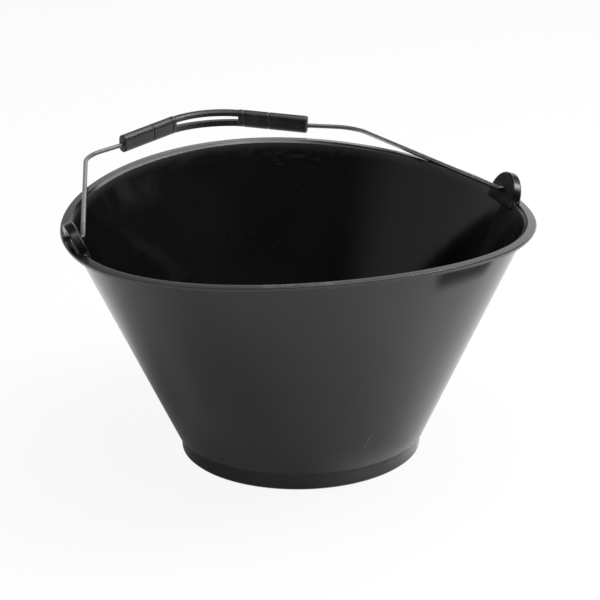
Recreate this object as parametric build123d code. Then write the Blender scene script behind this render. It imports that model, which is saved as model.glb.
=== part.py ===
from build123d import *
import math
import os

# Builders bucket: a moulded tapered pail with a saddle-shaped rim and two moulded ears,
# a galvanised wire bail and a moulded hand grip. Millimetres, +Z up.
# The origin is the middle of the foot's underside, X runs along the bail's pivot axis,
# and the bail lies back over the rim on the +Y side.

# Pail wall, with its flare in degrees from vertical and the radius of the saddle seen from the front
wall_flare = 24.7
wall_thickness = 3.0
rim_height = 215.0
rim_crown_radius = 1215.0

# Foot and floor: the foot's band tapers down from its ledge to the ring that it stands on
foot_radius = 103.6
foot_height = 16.0
foot_ledge = 2.4
foot_taper = 1.6
foot_corner = 1.5
foot_ring_width = 9.0
floor_thickness = 4.0
floor_corner = 6.0
recess_depth = 3.0

# Rim flange, with its width measured beyond the wall's outer face, and the eased lip inside it
flange_width = 7.0
flange_thickness = 3.5
flange_edge = 1.0
rim_lip = 2.2

# Ears: round lugs that lean outward, rooted just inside the rim, with a pocket round the wire's end
ear_radius = 23.5
ear_thickness = 8.5
ear_lean = 19.0
ear_inset = 4.0
ear_root = 2.7
ear_edge = 1.2
ear_pocket_radius = 6.5
ear_pocket_depth = 2.0

# Bail wire: spans run along X and reaches run out from the pivot axis, in the bail's own plane
wire_radius = 2.0
pivot_rise = 8.5
pivot_clearance = 0.4
pivot_bend = 3.0
leg_ear_gap = 2.6
stub_length = 5.0
shoulder_span = 128.7
shoulder_reach = 214.0
shoulder_bend = 44.0
crest_angle = 28.85
crest_bend = 73.0
rim_gap = 1.25
leg_samples = 400

# Hand grip: heights are out of the bail's plane, grooves are measured from a sleeve's inner end
grip_half_span = 89.5
grip_bow = 5.7
sleeve_offset = 0.9
sleeve_width = 9.5
sleeve_height = 16.6
sleeve_edge = 1.0
groove_starts = (4.0, 28.0)
groove_width = 1.4
groove_depth = 0.5
strap_lap = 3.5
upper_strap_width = 7.0
upper_strap_height = 5.6
upper_strap_level = 4.6
upper_strap_edge = 1.6
lower_strap_width = 5.6
lower_strap_height = 5.3
bore_clearance = 0.05

# Values that follow from the sizes above
slope = math.tan(math.radians(wall_flare))
wall_width = wall_thickness / math.cos(math.radians(wall_flare))
crown_centre = rim_height - rim_crown_radius
floor_level = recess_depth + floor_thickness
stock_height = rim_height + flange_thickness
lean_slope = math.tan(math.radians(ear_lean))


def wall_radius(level):
    """Radius of the wall's outer face at a height."""
    return foot_radius + foot_ledge + (level - foot_height) * slope


def crown_level(x):
    """Height of the rim's top at a distance from the YZ plane."""
    return crown_centre + math.sqrt(rim_crown_radius**2 - x**2)


def rim_level_at_ears():
    """Height at which the wall's outer face meets the rim's top on the X axis."""
    apex = wall_radius(0)
    squared = 1 + slope**2
    half_linear = apex * slope - crown_centre
    constant = apex**2 + crown_centre**2 - rim_crown_radius**2
    return (math.sqrt(half_linear**2 - squared * constant) - half_linear) / squared


# Ear seats and the pivot axis
ear_level = rim_level_at_ears() - flange_thickness / 2
ear_face = wall_radius(ear_level) - wall_width - ear_inset
pivot_level = ear_level + pivot_rise
ear_inside = ear_face + pivot_rise * lean_slope
ear_outside = ear_inside + ear_thickness / math.cos(math.radians(ear_lean))

# Corners of one half of the bail, in the bail's plane
run_angle = math.radians(crest_angle)
shoulder = Vector(shoulder_span, shoulder_reach)
crest_reach = shoulder_reach + shoulder_span * math.tan(run_angle)
leg_corner = Vector(ear_inside - leg_ear_gap, 0)
stub_end = Vector(ear_outside + stub_length, 0)


def bail_rest_lift():
    """Angle above level at which the legs come to lie on the rim, in degrees."""
    lifts = []
    for step in range(1, leg_samples):
        point = leg_corner + (shoulder - leg_corner) * (step / leg_samples)
        level = crown_level(point.X)
        inner = wall_radius(level) - wall_width - wire_radius
        outer = wall_radius(level) + flange_width + wire_radius
        if inner <= point.length <= outer:
            lifts.append(math.asin((level + rim_gap + wire_radius - pivot_level) / point.Y))
    return math.degrees(max(lifts))


bail_lift = bail_rest_lift()
bail_plane = Plane(
    origin=(0, 0, pivot_level),
    x_dir=(1, 0, 0),
    z_dir=(0, -math.sin(math.radians(bail_lift)), math.cos(math.radians(bail_lift))),
)

# The grip follows the bail's crest in a plane of its own, tilted up from the chord between its ends
apex_reach = crest_reach - crest_bend * (1 / math.cos(run_angle) - 1)
chord_reach = crest_reach - grip_half_span * math.tan(run_angle)
grip_tilt = math.atan2(grip_bow - sleeve_offset, apex_reach - chord_reach)
grip_plane = Plane(
    origin=(0, chord_reach, sleeve_offset),
    x_dir=(1, 0, 0),
    z_dir=(0, -math.sin(grip_tilt), math.cos(grip_tilt)),
)
arc_centre = apex_reach - chord_reach - crest_bend
run_direction = Vector(math.cos(run_angle), -math.sin(run_angle), 0)
run_start = Vector(crest_bend * math.sin(run_angle), arc_centre + crest_bend * math.cos(run_angle), 0)
run_length = (grip_half_span - run_start.X) / math.cos(run_angle)
sleeve_frame = Plane(
    origin=run_start - run_direction * strap_lap,
    x_dir=(0, 0, 1),
    z_dir=run_direction,
)


def spun(*corners):
    """Solid of revolution about Z of a closed outline given as (radius, height) corners."""
    outline = Plane.XZ * Polyline(*corners, close=True)
    return revolve(make_face(outline), Axis.Z)


def pail_stock():
    """The pail as a filled solid, taller than the rim, with the foot's outer shape."""
    base_radius = foot_radius - foot_taper
    ring_inner = base_radius - foot_ring_width
    outline = make_face(
        Polyline(
            (0, recess_depth),
            (ring_inner, recess_depth),
            (ring_inner, 0),
            (base_radius, 0),
            (foot_radius, foot_height),
            (foot_radius + foot_ledge, foot_height),
            (wall_radius(stock_height), stock_height),
            (0, stock_height),
            close=True,
        )
    )
    corner = outline.vertices().group_by(Axis.Y)[0].sort_by(Axis.X)[-1]
    return revolve(Plane.XZ * chamfer(corner, foot_corner), Axis.Z)


def pail_cavity():
    """The space inside the pail, open past the rim."""
    outline = make_face(
        Polyline(
            (0, floor_level),
            (wall_radius(floor_level) - wall_width, floor_level),
            (wall_radius(stock_height + flange_thickness) - wall_width, stock_height + flange_thickness),
            (0, stock_height + flange_thickness),
            close=True,
        )
    )
    corner = outline.vertices().group_by(Axis.Y)[0].sort_by(Axis.X)[-1]
    return revolve(Plane.XZ * chamfer(corner, floor_corner), Axis.Z)


def crown(radius):
    """Cylinder along Y that trims the rim to its saddle."""
    reach = wall_radius(stock_height) + flange_width
    return Pos(0, 0, crown_centre) * Rot(90, 0, 0) * Cylinder(radius, 4 * reach)


def flange_stock():
    """The flange's outer face, parallel to the wall, filled down to below the lowest part of the rim."""
    low = ear_level - flange_width
    return spun(
        (0, low),
        (wall_radius(low) + flange_width, low),
        (wall_radius(stock_height) + flange_width, stock_height),
        (0, stock_height),
    )


def ear():
    """One leaning lug on the +X side, which slopes back into the wall and ends inside the flange."""
    frame = Plane(
        origin=(ear_face, 0, ear_level),
        x_dir=(0, 1, 0),
        z_dir=(math.cos(math.radians(ear_lean)), 0, -math.sin(math.radians(ear_lean))),
    )
    disc = frame * Pos(0, 0, ear_thickness / 2) * Cylinder(ear_radius, ear_thickness)
    disc = chamfer(disc.edges().filter_by(lambda edge: edge.is_closed), ear_edge)
    heel = Plane(origin=(ear_face - ear_root * lean_slope, 0, ear_level - ear_root), z_dir=(1, 0, 1))
    disc = split(disc, heel, Keep.TOP)
    low = ear_level - ear_radius
    outside = spun(
        (wall_radius(low) - wall_width / 2, low),
        (wall_radius(stock_height) + 2 * ear_thickness, low),
        (wall_radius(stock_height) + 2 * ear_thickness, ear_level),
        (wall_radius(ear_level) - wall_width / 2, ear_level),
    )
    return disc - outside


def ear_bore():
    """The pivot hole through one ear, with the pocket round the wire's end."""
    hole = Pos(ear_inside, 0, pivot_level) * Rot(0, 90, 0)
    hole *= Cylinder(wire_radius + pivot_clearance, 4 * ear_thickness)
    frame = Plane(
        origin=(ear_outside, 0, pivot_level),
        x_dir=(0, 1, 0),
        z_dir=(math.cos(math.radians(ear_lean)), 0, -math.sin(math.radians(ear_lean))),
    )
    pocket = frame * Cylinder(ear_pocket_radius, 2 * ear_pocket_depth)
    return hole + pocket


def rim_edges(shell):
    """The edges that run all the way round the rim, from the innermost to the outermost."""
    low = ear_level - flange_width
    edges = shell.edges().filter_by(lambda edge: edge.is_closed and edge.bounding_box().min.Z > low)
    return edges.sort_by(SortBy.LENGTH)


def bucket_shell():
    """Wall, floor, foot, flange, lip and ears in one moulding."""
    flange = flange_stock() - crown(rim_crown_radius - flange_thickness)
    shell = (pail_stock() + flange) & crown(rim_crown_radius)
    shell -= pail_cavity()
    shell = chamfer(rim_edges(shell)[0], rim_lip)
    shell = chamfer(rim_edges(shell)[-1], flange_edge)
    lug = ear()
    bore = ear_bore()
    shell += lug
    shell += mirror(lug, Plane.YZ)
    return shell - bore - mirror(bore, Plane.YZ)


def bail_wire():
    """Round bar along the bail's centre line, in the bail's own plane."""
    corners = [
        (stub_end.X, stub_end.Y),
        (leg_corner.X, leg_corner.Y),
        (shoulder.X, shoulder.Y),
        (0, crest_reach),
        (-shoulder.X, shoulder.Y),
        (-leg_corner.X, leg_corner.Y),
        (-stub_end.X, stub_end.Y),
    ]
    bends = (pivot_bend, shoulder_bend, crest_bend, shoulder_bend, pivot_bend)
    path = FilletPolyline(*corners, radius=bends)
    section = Plane(origin=path @ 0, z_dir=path % 0) * Circle(wire_radius)
    return sweep(section, path=path)


def grip_sleeve():
    """One straight sleeve on the +X side, in the grip's plane, with its ring grooves."""
    section = SlotOverall(sleeve_height, sleeve_width)
    floor = SlotOverall(sleeve_height - 2 * groove_depth, sleeve_width - 2 * groove_depth)
    sleeve = extrude(sleeve_frame * section, run_length + strap_lap)
    ends = sleeve.faces().sort_by(Axis((0, 0, 0), run_direction))
    sleeve = chamfer(ends[-1].edges(), sleeve_edge)
    for start in groove_starts:
        sleeve -= extrude(sleeve_frame.offset(start) * (section - floor), groove_width)
    return sleeve


def crest_bar(outline, reach, level):
    """Carry an outline round the crest's bend, in a plane where the crest lies at a given reach."""
    axis = Axis((0, reach - crest_bend, 0), (0, 0, 1))
    section = Plane.YZ * Pos(reach, level) * outline
    bar = revolve(section, axis, revolution_arc=2 * crest_angle)
    return bar.rotate(axis, -crest_angle)


def grip_passage():
    """Room for the wire in the bail's plane: square round the crest and round along the two runs."""
    opening = wire_radius + bore_clearance
    run = Plane(origin=run_start + Vector(0, chord_reach, 0), z_dir=run_direction)
    hole = extrude(run * Circle(opening), 2 * run_length)
    channel = crest_bar(Rectangle(2 * opening, 2 * opening), apex_reach, 0)
    return channel + hole + mirror(hole, Plane.YZ)


def hand_grip():
    """Two sleeves, an upper strap and a lower strap round the wire, in one moulding."""
    upper = Rectangle(upper_strap_width, upper_strap_height)
    upper = chamfer(upper.vertices(), upper_strap_edge)
    lower = Rectangle(lower_strap_width, lower_strap_height)
    sleeve = grip_sleeve()
    grip = sleeve + mirror(sleeve, Plane.YZ)
    grip += crest_bar(upper, apex_reach - chord_reach, upper_strap_level)
    grip = grip_plane.location * grip
    grip += crest_bar(lower, apex_reach, 0)
    return grip - grip_passage()


nodes = {
    "bucket_shell": bucket_shell(),
    "bail_wire": bail_plane.location * bail_wire(),
    "hand_grip": bail_plane.location * hand_grip(),
}

os.makedirs("parts", exist_ok=True)
for name, solid in nodes.items():
    export_step(solid, os.path.join("parts", f"{name}.step"))

print(f"pivot level {pivot_level:.3f}, bail lift {bail_lift:.3f} degrees")
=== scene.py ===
"""Looks of a black moulded builders bucket with a galvanised bail and a moulded grip."""

import logging
import math
from abc import ABC, abstractmethod
from dataclasses import dataclass
from enum import Enum
from typing import Any, Optional, Union

import bmesh
import bpy
from mathutils import Matrix, Vector

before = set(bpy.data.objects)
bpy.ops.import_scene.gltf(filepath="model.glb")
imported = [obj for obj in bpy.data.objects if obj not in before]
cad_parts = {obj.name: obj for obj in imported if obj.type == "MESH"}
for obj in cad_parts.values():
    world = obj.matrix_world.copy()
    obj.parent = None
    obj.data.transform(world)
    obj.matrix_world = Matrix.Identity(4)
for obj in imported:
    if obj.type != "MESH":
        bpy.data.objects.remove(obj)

log = logging.getLogger("builders_bucket")
IMAGE_SIDE = 600
SENSOR_WIDTH = 36.0
PLASTIC_IOR = 1.5
EDGE_SAMPLES = 6
NOISE_MIDDLE = 0.5
MARK_CORE = 0.5  # the share of a mark's length that shows in full
MIX_FACTOR, MIX_FIRST, MIX_SECOND, MIX_RESULT = 0, 6, 7, 2  # a colour Mix node's sockets
Number = Union[int, float]
Colour = tuple[float, float, float, float]
Ends = tuple[float, float]  # the values at which a soft mask is 0 and 1


class Node(Enum):
    """The solids of the part."""

    SHELL = "bucket_shell"
    WIRE = "bail_wire"
    GRIP = "hand_grip"


class Slot(Enum):
    """The material slots of the record."""

    PAIL = "pail_plastic"
    STEEL = "bail_steel"
    GRIP = "grip_plastic"


class Axis(Enum):
    """Ways to measure a place on the stage, seen along the camera's level heading."""

    AHEAD = "ahead"
    RIGHT = "right"
    REACH = "reach"
    UP = "up"


class Term:
    """A shader socket that takes part in Python expressions."""

    def __init__(self, graph: "Graph", socket: bpy.types.NodeSocket) -> None:
        """Hold a socket.

        Args:
            graph: the graph that new nodes go into.
            socket: the output socket that this term stands for.
        """
        self.graph = graph
        self.socket = socket

    def _math(self, operation: str, *values: Any) -> "Term":
        """Add one Math node.

        Args:
            operation: the node's operation.
            values: its inputs in order, terms or numbers.

        Returns:
            The node's result.
        """
        sockets = dict(enumerate(values))
        return self.graph.node("ShaderNodeMath", {"operation": operation}, sockets)

    def __add__(self, other: Any) -> "Term":
        """Sum."""
        return self._math("ADD", self, other)

    def __radd__(self, other: Any) -> "Term":
        """Sum with a number in front."""
        return self._math("ADD", other, self)

    def __sub__(self, other: Any) -> "Term":
        """Difference."""
        return self._math("SUBTRACT", self, other)

    def __rsub__(self, other: Any) -> "Term":
        """Difference with a number in front."""
        return self._math("SUBTRACT", other, self)

    def __mul__(self, other: Any) -> "Term":
        """Product."""
        return self._math("MULTIPLY", self, other)

    def __rmul__(self, other: Any) -> "Term":
        """Product with a number in front."""
        return self._math("MULTIPLY", other, self)

    def __pow__(self, other: Any) -> "Term":
        """Power."""
        return self._math("POWER", self, other)

    def __or__(self, other: Any) -> "Term":
        """The larger of two masks."""
        return self._math("MAXIMUM", self, other)

    def size(self) -> "Term":
        """Absolute value."""
        return self._math("ABSOLUTE", self)

    def turn_from(self, other: "Term") -> "Term":
        """Angle of a point, in radians, where this is its second and other its first coordinate."""
        return self._math("ARCTAN2", self, other)

    def sibling(self, output: Union[int, str]) -> "Term":
        """Another output of the same node."""
        return Term(self.graph, self.socket.node.outputs[output])

    def between(self, start: Number, end: Number) -> "Term":
        """Rise smoothly from 0 at one value to 1 at another.

        Args:
            start: the value at which the mask is 0.
            end: the value at which the mask is 1, above or below start.

        Returns:
            The mask, from 0 to 1.
        """
        settings = {"interpolation_type": "SMOOTHSTEP", "clamp": True}
        ends = {"From Min": min(start, end), "From Max": max(start, end)}
        mask = self.graph.node("ShaderNodeMapRange", settings, {"Value": self, **ends})
        return 1 - mask if end < start else mask


class Graph:
    """The nodes of one material or of the world."""

    def __init__(self, owner: Any) -> None:
        """Start with an empty tree.

        Args:
            owner: a material or a world.
        """
        owner.use_nodes = True
        self.tree = owner.node_tree
        self.tree.nodes.clear()

    def node(
        self,
        kind: str,
        settings: Optional[dict[str, Any]] = None,
        sockets: Optional[dict[Union[int, str], Any]] = None,
        output: Union[int, str] = 0,
    ) -> Term:
        """Add a node of any kind.

        Args:
            kind: the node's type.
            settings: its own properties, set first.
            sockets: values or terms for its inputs, by name or place.
            output: the output that the result stands for.

        Returns:
            A term for that output, or for the first input of a node that has no output.
        """
        made = self.tree.nodes.new(kind)
        for name, value in (settings or {}).items():
            setattr(made, name, value)
        for name, value in (sockets or {}).items():
            if isinstance(value, Term):
                self.tree.links.new(value.socket, made.inputs[name])
            else:
                made.inputs[name].default_value = value
        return Term(self, made.outputs[output] if made.outputs else made.inputs[0])

    def place(self) -> Term:
        """The point's place in the part's own frame, in metres."""
        return self.node("ShaderNodeTexCoord", output="Object")

    def parts(self, vector: Term) -> tuple[Term, Term, Term]:
        """Split a vector into its X, Y and Z."""
        x = self.node("ShaderNodeSeparateXYZ", sockets={"Vector": vector})
        return x, x.sibling("Y"), x.sibling("Z")

    def stretch(self, vector: Term, scale: tuple[float, float, float]) -> Term:
        """Multiply a vector by a scale on each axis."""
        return self.node("ShaderNodeVectorMath", {"operation": "MULTIPLY"}, {0: vector, 1: scale})

    def alike(self, first: Term, second: Term) -> Term:
        """How far two directions agree: 1 where they are the same, and less as they part."""
        settings = {"operation": "DOT_PRODUCT"}
        return self.node("ShaderNodeVectorMath", settings, {0: first, 1: second}, output="Value")

    def colour(self, mask: Any, low: Any, high: Any) -> Term:
        """Mix two colours.

        Args:
            mask: 0 gives the first colour and 1 the second.
            low: the first colour.
            high: the second colour.

        Returns:
            The mixed colour.
        """
        settings = {"data_type": "RGBA", "clamp_factor": True}
        sockets = {MIX_FACTOR: mask, MIX_FIRST: low, MIX_SECOND: high}
        return self.node("ShaderNodeMix", settings, sockets, output=MIX_RESULT)

    def rounded(self, radius: float) -> Term:
        """The normal of the surface with its edges rounded to a radius."""
        return self.node("ShaderNodeBevel", {"samples": EDGE_SAMPLES}, {"Radius": radius})

    def finish(self, shader: Term, output: str = "ShaderNodeOutputMaterial") -> None:
        """Join the last shader to the output."""
        self.node(output, sockets={"Surface": shader})


def grey(level: float) -> Colour:
    """A neutral colour of one level."""
    return (level, level, level, 1.0)


def from_axis(x: Term, y: Term) -> Term:
    """Level distance of a point from the upright axis."""
    return (x * x + y * y) ** 0.5


def along_sight(x: Term, y: Term, heading: Vector) -> dict[Axis, Term]:
    """Measure a point along the camera's level heading and to its right."""
    ahead = x * heading.x + y * heading.y
    return {Axis.AHEAD: ahead, Axis.RIGHT: x * heading.y - y * heading.x}


@dataclass(frozen=True)
class Speckle:
    """Smooth noise: waves per metre, octaves, the strength of the finer ones, and a stretch."""

    waves: float
    octaves: float
    finer: float
    stretch: Optional[tuple[float, float, float]] = None

    def on(self, graph: Graph, place: Term) -> Term:
        """Read the noise.

        Args:
            graph: the graph that its nodes go into.
            place: where it is read.

        Returns:
            A value about NOISE_MIDDLE.
        """
        where = place if self.stretch is None else graph.stretch(place, self.stretch)
        sockets = {"Vector": where, "Scale": self.waves}
        sockets.update({"Detail": self.octaves, "Roughness": self.finer})
        return graph.node("ShaderNodeTexNoise", {"noise_dimensions": "3D"}, sockets)


@dataclass(frozen=True)
class Relief:
    """A bump: what a height of 1 is, in metres, and how much of it shows."""

    depth: float
    strength: float

    def over(self, graph: Graph, height: Term, normal: Optional[Term] = None) -> Term:
        """Raise the surface.

        Args:
            graph: the graph that its node goes into.
            height: the height, from 0 to 1.
            normal: the normal that it starts from.

        Returns:
            The new normal.
        """
        sockets: dict[Union[int, str], Any] = {"Height": height}
        sockets.update({"Distance": self.depth, "Strength": self.strength})
        if normal is not None:
            sockets["Normal"] = normal
        return graph.node("ShaderNodeBump", sockets=sockets)


class Finish(ABC):
    """A finish, which makes one material."""

    name: str

    @abstractmethod
    def shader(self, graph: Graph) -> Term:
        """Make the shader in a graph."""

    def build(self) -> bpy.types.Material:
        """Make the material.

        Returns:
            The material.
        """
        material = bpy.data.materials.new(self.name)
        graph = Graph(material)
        graph.finish(self.shader(graph))
        return material


def dress_solid(node: Node, finish: Finish) -> None:
    """Give one CAD solid its finish.

    Args:
        node: the solid.
        finish: its finish.
    """
    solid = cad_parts[node.value]
    material = finish.build()
    for place in solid.material_slots:
        place.material = material
    log.info("%s dressed in %s", solid.name, material.name)


@dataclass(frozen=True)
class Pail:
    """The pail, one moulding with its ears, and the sizes that its finish follows, in metres.

    base_radius is the inner face's radius at the ground, flare its widening by height, crest the
    rim's height, droop the rim's fall by the square of x, ear_start the depth below the rim's top
    at which an ear starts, and wall_middle the middle of the wall's thickness.
    """

    base_radius: float = 0.0953
    flare: float = 0.46
    crest: float = 0.215
    droop: float = 0.4115
    ear_start: Ends = (-0.0005, -0.002)
    wall_middle: Ends = (0.0012, 0.0024)

    def dress(self) -> None:
        """Dress the moulding."""
        dress_solid(Node.SHELL, PailFinish(self))


@dataclass(frozen=True)
class Bail:
    """The bail, a bent wire and the grip on it, and the sizes that the wire's finish follows.

    arm_half_span is how far the arms beside the grip reach from the middle, in metres, and
    tip_half_span where the wire's tips start.
    """

    arm_half_span: Ends = (0.136, 0.122)
    tip_half_span: Ends = (0.174, 0.186)

    def dress(self) -> None:
        """Dress the wire and the grip."""
        dress_solid(Node.WIRE, SteelFinish(self))
        dress_solid(Node.GRIP, GripFinish())


@dataclass(frozen=True)
class PailPoint:
    """A point on the pail, measured in the ways that its finish needs.

    turn is its angle about the axis in radians, level its height, out its level distance outside
    the inner face and down its depth below the rim's top. The other four are masks.
    """

    place: Term
    turn: Term
    level: Term
    out: Term
    down: Term
    ear: Term
    body: Term
    outside: Term
    inside: Term

    @classmethod
    def on(cls, graph: Graph, pail: Pail) -> "PailPoint":
        """Measure the shaded point.

        Args:
            graph: the graph that the nodes go into.
            pail: the pail, for its sizes.

        Returns:
            The point.
        """
        place = graph.place()
        x, y, z = graph.parts(place)
        out = from_axis(x, y) - (pail.base_radius + pail.flare * z)
        down = pail.crest - x * x * pail.droop - z
        ear = down.between(*pail.ear_start)
        outside = out.between(*pail.wall_middle)
        return cls(place, y.turn_from(x), z, out, down, ear, 1 - ear, outside, 1 - outside)


@dataclass(frozen=True)
class Mark:
    """A mark on the pail's wall.

    turn is its angle about the pail's axis in degrees, level its height, radius the wall's radius
    there, reach and width its half length and half width, lean its angle from level in degrees,
    broken the noise that breaks it up, and weight how strongly it shows.
    """

    turn: float
    level: float
    radius: float
    reach: float
    width: float
    lean: float = 0.0
    broken: Ends = (0.0, 1.0)
    weight: float = 1.0

    def mask(self, point: PailPoint) -> Term:
        """Show the whole mark.

        Args:
            point: the point on the pail.

        Returns:
            1 in the middle of the mark and 0 outside it.
        """
        lean = math.radians(self.lean)
        across = (point.turn - math.radians(self.turn)) * self.radius
        rise = point.level - self.level
        along = across * math.cos(lean) + rise * math.sin(lean)
        aside = rise * math.cos(lean) - across * math.sin(lean)
        length = along.size().between(self.reach, MARK_CORE * self.reach)
        return length * aside.size().between(self.width, 0.0)

    def patchy(self, point: PailPoint, noise: Term) -> Term:
        """Show the mark where a noise lets it through."""
        return self.mask(point) * noise.between(*self.broken)


@dataclass(frozen=True)
class PailFinish(Finish):
    """Satin black polyethylene with moulding marks, scuffs and a worn rim, with painted sheen,
    highlights and reflections on the rim, the foot and the inner wall.
    """

    pail: Pail
    name: str = "satin_black_pail"
    black: Colour = (0.002, 0.002, 0.0021, 1.0)
    faded: Colour = (0.0045, 0.0045, 0.0046, 1.0)
    # The pale grey of scuffs and scratches, also used for painted highlights and reflections.
    scuff_and_sheen: Colour = grey(0.07)
    # A painted sheen: a pale band under the lip inside, standing in for the light on its rounded
    # edge.
    lip_sheen: Colour = grey(0.03)
    # A painted highlight along the outer edge of the brim.
    wear_and_sheen_grey: Colour = grey(0.05)
    # A painted highlight on the right end of the foot.
    foot_highlight_grey: Colour = grey(0.2)

    cloud: Speckle = Speckle(9.0, 4, 0.55)
    haze: Speckle = Speckle(38.0, 5, 0.6, (1.0, 1.0, 0.35))
    scrape: Speckle = Speckle(420.0, 2, 0.4, (1.0, 1.0, 0.16))
    patch: Speckle = Speckle(14.0, 2, 0.5)
    fleck: Speckle = Speckle(120.0, 4, 0.65)
    band: Speckle = Speckle(300.0, 3, 0.5, (0.2, 0.2, 1.0))
    ripple: Speckle = Speckle(22.0, 2, 0.4)
    grain: Speckle = Speckle(700.0, 3, 0.6)

    scratch: Mark = Mark(-81.4, 0.0445, 0.1177, 0.0085, 0.0013, lean=72.0, weight=0.8)
    scratch_end: Mark = Mark(-82.4, 0.037, 0.114, 0.004, 0.001, lean=55.0, weight=0.8)
    # Paler flecks along the front of the rim.
    front_rim_flecks: Mark = Mark(-108.0, 0.214, 0.2, 0.05, 0.006, broken=(0.4, 0.6), weight=0.8)
    foot_wear: Mark = Mark(-62.0, 0.046, 0.12, 0.034, 0.04, broken=(0.45, 0.7), weight=0.25)
    # Scuffs and a painted highlight along the foot's ledge on the lit right side.
    foot_scuff_and_highlight: Mark = Mark(-28.0, 0.0155, 0.106, 0.125, 0.012, broken=(0.2, 0.55))
    # A painted highlight on the right end of the foot, just below the ledge.
    foot_end_highlight: Mark = Mark(-10.0, 0.0125, 0.105, 0.1, 0.014, broken=(0.2, 0.6))
    # Painted reflection: pale streaks on the inner wall at the back right.
    inner_reflection_streaks: Mark = Mark(71.0, 0.199, 0.187, 0.03, 0.012, broken=(0.5, 0.7), weight=0.2)
    # Painted highlight: a soft pale patch on the inner wall at the back left.
    inner_highlight: Mark = Mark(126.0, 0.196, 0.186, 0.045, 0.024, broken=(0.3, 0.7), weight=0.16)
    smudge: Mark = Mark(-65.5, 0.203, 0.19, 0.042, 0.022, broken=(0.25, 0.5), weight=0.75)
    smudge_top: Ends = (0.003, 0.007)

    fading: Ends = (0.35, 0.7)
    scuff_lines: Ends = (0.665, 0.72)
    scuff_patches: Ends = (0.5, 0.64)
    scuff_weight: float = 0.1
    rim_flecks: Ends = (0.4, 0.75)
    rim_level: Ends = (0.195, 0.207)
    rim_weight: float = 0.12
    lip_out: Ends = (0.0018, 0.0008)
    lip_down: Ends = (0.012, 0.001)
    brim_out: Ends = (0.0083, 0.0094)
    brim_down: Ends = (0.0032, 0.0006)

    roughness: float = 0.14
    haze_rough: float = 0.1
    cloud_rough: float = 0.1
    wear_and_sheen_rough: float = 0.14
    ear_rough: float = 0.1

    edge_radius: float = 0.0007
    swell_out: Ends = (0.0, 0.03)
    swell: Relief = Relief(0.0016, 1.0)
    wave: Relief = Relief(0.0006, 0.3)
    skin: Relief = Relief(0.00008, 0.15)

    def shader(self, graph: Graph) -> Term:
        """Make the shader.

        Args:
            graph: the graph that its nodes go into.

        Returns:
            The shader.
        """
        point = PailPoint.on(graph, self.pail)
        cloud = self.cloud.on(graph, point.place)
        haze = self.haze.on(graph, point.place)
        patch = self.patch.on(graph, point.place)
        worn_and_sheen = self.wear_and_sheen(graph, point, haze, patch)
        base = graph.colour(cloud.between(*self.fading), self.black, self.faded)
        # Scuffs and scratches, plus painted highlights and reflections on the foot and the inner
        # wall, in one pale grey.
        base = graph.colour(worn_and_sheen, base, self.scuff_and_sheen)
        base = self.rim_and_foot(graph, point, haze, base)
        under_rim = point.outside * point.down.between(*self.smudge_top)
        stain = self.smudge.patchy(point, patch) * under_rim * self.smudge.weight
        rough = self.roughness + self.haze_rough * (haze - NOISE_MIDDLE)
        rough = rough + self.cloud_rough * (cloud - NOISE_MIDDLE) + self.wear_and_sheen_rough * worn_and_sheen
        rough = rough + stain + self.ear_rough * point.ear
        sockets = {"Base Color": base, "Roughness": rough, "IOR": PLASTIC_IOR}
        sockets["Normal"] = self.normal(graph, point)
        return graph.node("ShaderNodeBsdfPrincipled", sockets=sockets)

    def wear_and_sheen(self, graph: Graph, point: PailPoint, haze: Term, patch: Term) -> Term:
        """Find where the plastic is worn, and where highlights and reflections are painted on it.

        Args:
            graph: the graph that its nodes go into.
            point: the point on the pail.
            haze: the cloudy noise of the wall.
            patch: the noise of its larger patches.

        Returns:
            0 where it is whole, and up to 1 at wear and at painted highlights and reflections.
        """
        fleck = self.fleck.on(graph, point.place)
        band = self.band.on(graph, point.place)
        lines = self.scrape.on(graph, point.place).between(*self.scuff_lines)
        worn_and_sheen = lines * patch.between(*self.scuff_patches) * self.scuff_weight
        rim = point.level.between(*self.rim_level)
        worn_and_sheen = worn_and_sheen | fleck.between(*self.rim_flecks) * rim * self.rim_weight
        for mark in (self.scratch, self.scratch_end):
            worn_and_sheen = worn_and_sheen | mark.mask(point) * point.outside * mark.weight
        # The two marks inside are a painted reflection and a painted highlight, and the scuff on
        # the foot's ledge is partly a painted highlight.
        for mark, noise, side in (
            (self.front_rim_flecks, fleck, point.outside),
            (self.foot_wear, haze, point.outside),
            (self.foot_scuff_and_highlight, haze, point.outside),
            (self.inner_reflection_streaks, band, point.inside),
            (self.inner_highlight, haze, point.inside),
        ):
            worn_and_sheen = worn_and_sheen | mark.patchy(point, noise) * side * mark.weight
        return worn_and_sheen

    def rim_and_foot(self, graph: Graph, point: PailPoint, haze: Term, base: Term) -> Term:
        """Paint a sheen on the lip, a highlight on the brim of the rim, and a highlight on the
        right end of the foot.

        Args:
            graph: the graph that its nodes go into.
            point: the point on the pail.
            haze: the cloudy noise of the wall.
            base: the colour so far.

        Returns:
            The new colour.
        """
        lip = point.out.between(*self.lip_out) * point.down.between(*self.lip_down) * point.body
        brim = point.out.between(*self.brim_out) * point.down.between(*self.brim_down) * point.body
        # Painted sheen under the lip.
        base = graph.colour(lip * lip, base, self.lip_sheen)
        # A painted highlight along the brim's outer edge.
        base = graph.colour(brim, base, self.wear_and_sheen_grey)
        # A painted highlight on the foot's right end.
        scrape = self.foot_end_highlight.patchy(point, haze) * point.outside
        return graph.colour(scrape, base, self.foot_highlight_grey)

    def normal(self, graph: Graph, point: PailPoint) -> Term:
        """Make the surface's relief.

        Args:
            graph: the graph that its nodes go into.
            point: the point on the pail.

        Returns:
            The normal, with rounded edges, a swelling rim, slow waves and a fine grain.
        """
        slope = 1 - point.out.between(*self.swell_out) * point.body
        swell = self.swell.over(graph, slope, graph.rounded(self.edge_radius))
        wave = self.wave.over(graph, self.ripple.on(graph, point.place), swell)
        return self.skin.over(graph, self.grain.on(graph, point.place) * point.body, wave)


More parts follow.
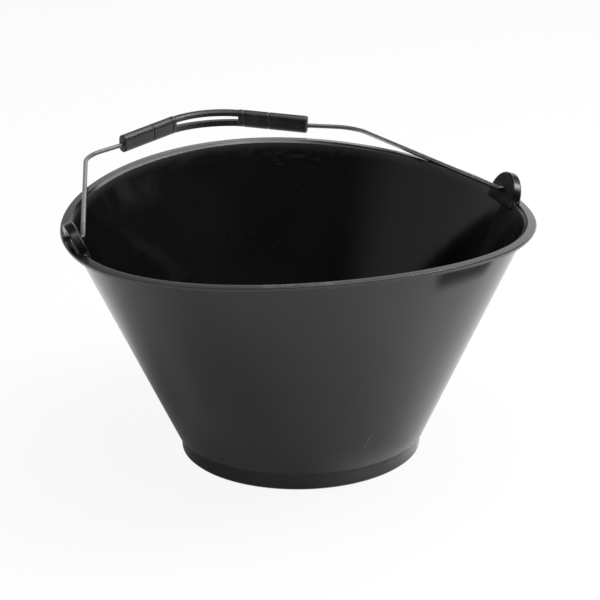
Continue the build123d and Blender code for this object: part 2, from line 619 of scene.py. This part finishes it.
@dataclass(frozen=True)
class SteelFinish(Finish):
    """Galvanised drawn wire, dulled with handling, with painted shade on the arms beside the grip
    and on the tips.
    """

    bail: Bail
    name: str = "galvanised_wire"
    zinc: Colour = (0.32, 0.322, 0.325, 1.0)
    bright: Colour = grey(0.46)
    # The grey of stains, also used for painted shade on the arms.
    stain_and_shade: Colour = grey(0.16)
    # Painted shade on the wire's tips where they go into the ears.
    tip_shade: Colour = grey(0.07)
    roughness: float = 0.36
    edge_radius: float = 0.0008

    spangle: Speckle = Speckle(160.0, 3, 0.6)
    spangle_ends: Ends = (0.25, 0.75)
    spangle_rough: float = 0.2
    stain: Speckle = Speckle(45.0, 4, 0.6)
    stain_ends: Ends = (0.52, 0.7)
    stain_weight: float = 0.6
    stain_rough: float = 0.16
    # How strongly the painted shade dims the arms' reflection of the softboxes.
    arm_shade_weight: float = 0.8
    arm_rough: float = 0.22
    tip_rough: float = 0.15
    drawn: Speckle = Speckle(1400.0, 2, 0.5)
    skin: Relief = Relief(0.00006, 0.1)

    def shader(self, graph: Graph) -> Term:
        """Make the shader.

        Args:
            graph: the graph that its nodes go into.

        Returns:
            The shader.
        """
        place = graph.place()
        from_middle = graph.parts(place)[0].size()
        tip = from_middle.between(*self.bail.tip_half_span)
        arm = from_middle.between(*self.bail.arm_half_span)
        spangle = self.spangle.on(graph, place)
        stain = self.stain.on(graph, place).between(*self.stain_ends)
        base = graph.colour(spangle.between(*self.spangle_ends), self.zinc, self.bright)
        base = graph.colour(stain * self.stain_weight, base, self.stain_and_shade)
        # Painted shade on the arms beside the grip.
        base = graph.colour(arm * self.arm_shade_weight, base, self.stain_and_shade)
        # Painted shade on the tips at the ears.
        base = graph.colour(tip, base, self.tip_shade)
        rough = self.roughness + self.spangle_rough * (spangle - NOISE_MIDDLE)
        rough = rough + self.stain_rough * stain + self.tip_rough * tip + self.arm_rough * arm
        edge = graph.rounded(self.edge_radius)
        sockets = {"Base Color": base, "Metallic": 1.0, "Roughness": rough}
        sockets["Normal"] = self.skin.over(graph, self.drawn.on(graph, place), edge)
        return graph.node("ShaderNodeBsdfPrincipled", sockets=sockets)


@dataclass(frozen=True)
class GripFinish(Finish):
    """Harder black moulding, less glossy than the pail, with handling marks, and its edges lighter
    by wear and a painted sheen.
    """

    name: str = "satin_black_grip"
    black: Colour = (0.014, 0.014, 0.0145, 1.0)
    # Grey of worn patches and nicks, and of the painted sheen on the edges.
    wear_and_sheen_grey: Colour = grey(0.09)
    roughness: float = 0.4
    edge_radius: float = 0.0012

    cloud: Speckle = Speckle(60.0, 4, 0.6)
    cloud_ends: Ends = (0.42, 0.68)
    cloud_weight: float = 0.25
    cloud_rough: float = 0.14
    nick: Speckle = Speckle(600.0, 2, 0.5, (0.3, 1.0, 1.0))
    nick_ends: Ends = (0.64, 0.72)
    nick_weight: float = 0.3
    nick_rough: float = 0.08
    corner_ends: Ends = (0.99, 0.85)
    # How strongly wear and the painted sheen show along the edges.
    corner_wear_and_sheen_weight: float = 0.8
    grain: Speckle = Speckle(900.0, 3, 0.6)
    skin: Relief = Relief(0.0001, 0.4)

    def shader(self, graph: Graph) -> Term:
        """Make the shader.

        Args:
            graph: the graph that its nodes go into.

        Returns:
            The shader.
        """
        place = graph.place()
        cloud = self.cloud.on(graph, place)
        nick = self.nick.on(graph, place).between(*self.nick_ends)
        edge = graph.rounded(self.edge_radius)
        flat = graph.node("ShaderNodeNewGeometry", output="Normal")
        corner = graph.alike(edge, flat).between(*self.corner_ends)
        worn_and_sheen = cloud.between(*self.cloud_ends) * self.cloud_weight
        # Worn patches, nicks, and wear with a painted sheen along the edges.
        worn_and_sheen = worn_and_sheen | nick * self.nick_weight | corner * self.corner_wear_and_sheen_weight
        rough = self.roughness + self.cloud_rough * (cloud - NOISE_MIDDLE) + self.nick_rough * nick
        base = graph.colour(worn_and_sheen, self.black, self.wear_and_sheen_grey)
        sockets = {"Base Color": base, "Roughness": rough, "IOR": PLASTIC_IOR}
        sockets["Normal"] = self.skin.over(graph, self.grain.on(graph, place), edge)
        return graph.node("ShaderNodeBsdfPrincipled", sockets=sockets)


@dataclass(frozen=True)
class Zone:
    """A soft-bordered part of the stage: its share of white and its limits by axis."""

    share: float
    limits: tuple[tuple[Axis, float, float], ...]

    def light(self, place: dict[Axis, Term]) -> Term:
        """Show the zone's share.

        Args:
            place: the point's measures on the stage.

        Returns:
            The share inside the zone and 0 outside it.
        """
        masks = [place[axis].between(start, end) for axis, start, end in self.limits]
        return self.share * math.prod(masks[1:], start=masks[0])


@dataclass(frozen=True)
class PaperFinish(Finish):
    """White paper, which keeps the object's shadow.

    Mirror rays see a share of plain white in it, by zones that stand for the light from the right
    and the object's shade on the left.
    """

    heading: Vector
    name: str = "white_paper"
    white: Colour = grey(0.86)
    roughness: float = 0.9
    camera_share: float = 0.92
    near_share: float = 0.09
    front: Zone = Zone(
        0.3, ((Axis.AHEAD, -0.03, -0.12), (Axis.REACH, 0.24, 0.12), (Axis.RIGHT, -0.15, -0.02))
    )
    left: Zone = Zone(
        0.16, ((Axis.RIGHT, -0.03, -0.12), (Axis.AHEAD, 0.0, -0.08), (Axis.REACH, 0.1, 0.15))
    )
    foot: Zone = Zone(0.7, ((Axis.RIGHT, 0.0, 0.08), (Axis.REACH, 0.132, 0.11)))
    right: Zone = Zone(0.7, ((Axis.RIGHT, 0.05, 0.13), (Axis.AHEAD, -0.1, -0.03)))
    far: Zone = Zone(0.5, ((Axis.AHEAD, 0.04, 0.15), (Axis.REACH, 0.16, 0.32)))
    grain: Speckle = Speckle(350.0, 2, 0.5)
    skin: Relief = Relief(0.0001, 0.1)

    def shader(self, graph: Graph) -> Term:
        """Make the shader.

        Args:
            graph: the graph that its nodes go into.

        Returns:
            The shader.
        """
        seen = graph.node("ShaderNodeLightPath", output="Is Camera Ray")
        mirrored = seen.sibling("Is Glossy Ray") | seen.sibling("Is Transmission Ray")
        place = graph.place()
        x, y, _ = graph.parts(place)
        stage = along_sight(x, y, self.heading)
        stage[Axis.REACH] = from_axis(x, y)
        lit = self.foot.light(stage) | self.right.light(stage) | self.far.light(stage)
        share = self.near_share + self.front.light(stage) + self.left.light(stage) + lit
        plain = seen * self.camera_share | mirrored * share
        sockets = {"Base Color": self.white, "Roughness": self.roughness}
        sockets["Normal"] = self.skin.over(graph, self.grain.on(graph, place))
        paper = graph.node("ShaderNodeBsdfPrincipled", sockets=sockets)
        glow = graph.node("ShaderNodeEmission", sockets={"Color": grey(1.0), "Strength": 1.0})
        return graph.node("ShaderNodeMixShader", sockets={0: plain, 1: paper, 2: glow})


@dataclass(frozen=True)
class PhotoCamera:
    """The camera's place and lens, in degrees, metres and pixels."""

    azimuth: float = 18.44
    elevation: float = 20.07
    roll: float = -0.85
    distance: float = 1.8668
    focal_pixels: float = 2212.8
    aim_side: float = 0.001
    aim_height: float = 0.1289

    def heading(self) -> Vector:
        """The level direction in which the camera looks."""
        turn = math.radians(self.azimuth)
        return Vector((math.sin(turn), math.cos(turn), 0.0))

    def stand(self) -> None:
        """Put the camera where the photo was taken."""
        data = bpy.data.cameras.new("photo_camera")
        data.sensor_fit = "HORIZONTAL"
        data.sensor_width = SENSOR_WIDTH
        data.lens = self.focal_pixels / IMAGE_SIDE * SENSOR_WIDTH
        camera = bpy.data.objects.new("photo_camera", data)
        bpy.context.scene.collection.objects.link(camera)
        tilt, roll = math.radians(self.elevation), math.radians(self.roll)
        ahead = self.heading()
        look = ahead * math.cos(tilt) - Vector((0, 0, math.sin(tilt)))
        right = look.cross(Vector((0, 0, 1))).normalized()
        upright = right.cross(look)
        across = right * math.cos(roll) + upright * math.sin(roll)
        over = upright * math.cos(roll) - right * math.sin(roll)
        aim = Vector((ahead.y, -ahead.x, 0.0)) * self.aim_side + Vector((0, 0, self.aim_height))
        turn = Matrix((across, over, -look)).transposed().to_4x4()
        camera.matrix_world = Matrix.Translation(aim - look * self.distance) @ turn
        bpy.context.scene.camera = camera


@dataclass(frozen=True)
class Softbox:
    """A square soft lamp: its turn from the camera and height in degrees, then metres and watts."""

    name: str
    turn: float
    height: float
    distance: float
    side: float
    power: float

    def hang(self, heading: Vector, aim: Vector) -> None:
        """Hang the lamp.

        Args:
            heading: the level direction in which the camera looks.
            aim: the point that it faces.
        """
        lamp = bpy.data.lights.new(self.name, "AREA")
        lamp.shape = "SQUARE"
        lamp.size = self.side
        lamp.energy = self.power
        holder = bpy.data.objects.new(self.name, lamp)
        back = -heading
        back.rotate(Matrix.Rotation(math.radians(self.turn), 3, "Z"))
        rise = math.radians(self.height)
        spot = back * math.cos(rise) + Vector((0, 0, math.sin(rise)))
        holder.location = aim + spot * self.distance
        holder.rotation_mode = "QUATERNION"
        holder.rotation_quaternion = (-spot).to_track_quat("-Z", "Y")
        holder.visible_camera = False
        bpy.context.scene.collection.objects.link(holder)


@dataclass(frozen=True)
class Room:
    """The room's light: a pale wall behind the object and a dim room on the camera's side."""

    dim: float = 0.015
    ceiling: Zone = Zone(0.08, ((Axis.UP, 0.3, 0.9),))
    wall: Zone = Zone(0.9, ((Axis.AHEAD, 0.72, 0.92), (Axis.UP, 0.75, 0.3)))
    wall_left_end: Ends = (-0.3, -0.04)
    wall_left_share: float = 0.45
    right: Zone = Zone(0.03, ((Axis.RIGHT, 0.25, 0.9), (Axis.UP, 0.8, 0.2)))
    left: Zone = Zone(0.36, ((Axis.RIGHT, -0.4, -0.9), (Axis.UP, 0.95, 0.45)))

    def light(self, heading: Vector) -> None:
        """Make the world.

        Args:
            heading: the level direction in which the camera looks.
        """
        world = bpy.data.worlds.new("studio_room")
        bpy.context.scene.world = world
        graph = Graph(world)
        x, y, z = graph.parts(graph.node("ShaderNodeTexCoord", output="Generated"))
        stage = along_sight(x, y, heading)
        stage[Axis.UP] = z
        rest = 1 - self.wall_left_share
        shade = self.wall_left_share + rest * stage[Axis.RIGHT].between(*self.wall_left_end)
        sides = self.wall.light(stage) * shade | self.right.light(stage) | self.left.light(stage)
        level = self.dim + self.ceiling.light(stage) + sides
        colour = graph.colour(level, grey(0.0), grey(1.0))
        shader = graph.node("ShaderNodeBackground", sockets={"Color": colour, "Strength": 1.0})
        graph.finish(shader, "ShaderNodeOutputWorld")


@dataclass(frozen=True)
class Studio:
    """Floor, room light, lamps and the camera."""

    camera: PhotoCamera = PhotoCamera()
    room: Room = Room()
    softboxes: tuple[Softbox, ...] = (
        Softbox("right_softbox", 92.0, 49.0, 2.2, 0.9, 31.0),
        Softbox("top_softbox", 48.0, 78.0, 2.2, 1.7, 31.0),
        Softbox("back_softbox", 138.0, 57.0, 2.2, 1.2, 14.0),
    )
    floor_radius: float = 9.0
    floor_sides: int = 96

    def lay_floor(self, heading: Vector) -> None:
        """Lay the paper.

        Args:
            heading: the level direction in which the camera looks.
        """
        mesh = bpy.data.meshes.new("floor")
        shape = bmesh.new()
        bmesh.ops.create_circle(
            shape, cap_ends=True, segments=self.floor_sides, radius=self.floor_radius
        )
        shape.to_mesh(mesh)
        shape.free()
        floor = bpy.data.objects.new("floor", mesh)
        floor.data.materials.append(PaperFinish(heading).build())
        bpy.context.scene.collection.objects.link(floor)

    def set_up(self) -> None:
        """Set up the floor, the light and the camera."""
        heading = self.camera.heading()
        self.lay_floor(heading)
        self.room.light(heading)
        for softbox in self.softboxes:
            softbox.hang(heading, Vector((0, 0, self.camera.aim_height)))
        self.camera.stand()
        bpy.context.scene.view_settings.view_transform = "Standard"


def main() -> None:
    """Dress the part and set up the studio."""
    logging.basicConfig(level=logging.INFO, format="%(message)s")
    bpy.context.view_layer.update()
    Pail().dress()
    Bail().dress()
    Studio().set_up()


if __name__ == "__main__":
    main()
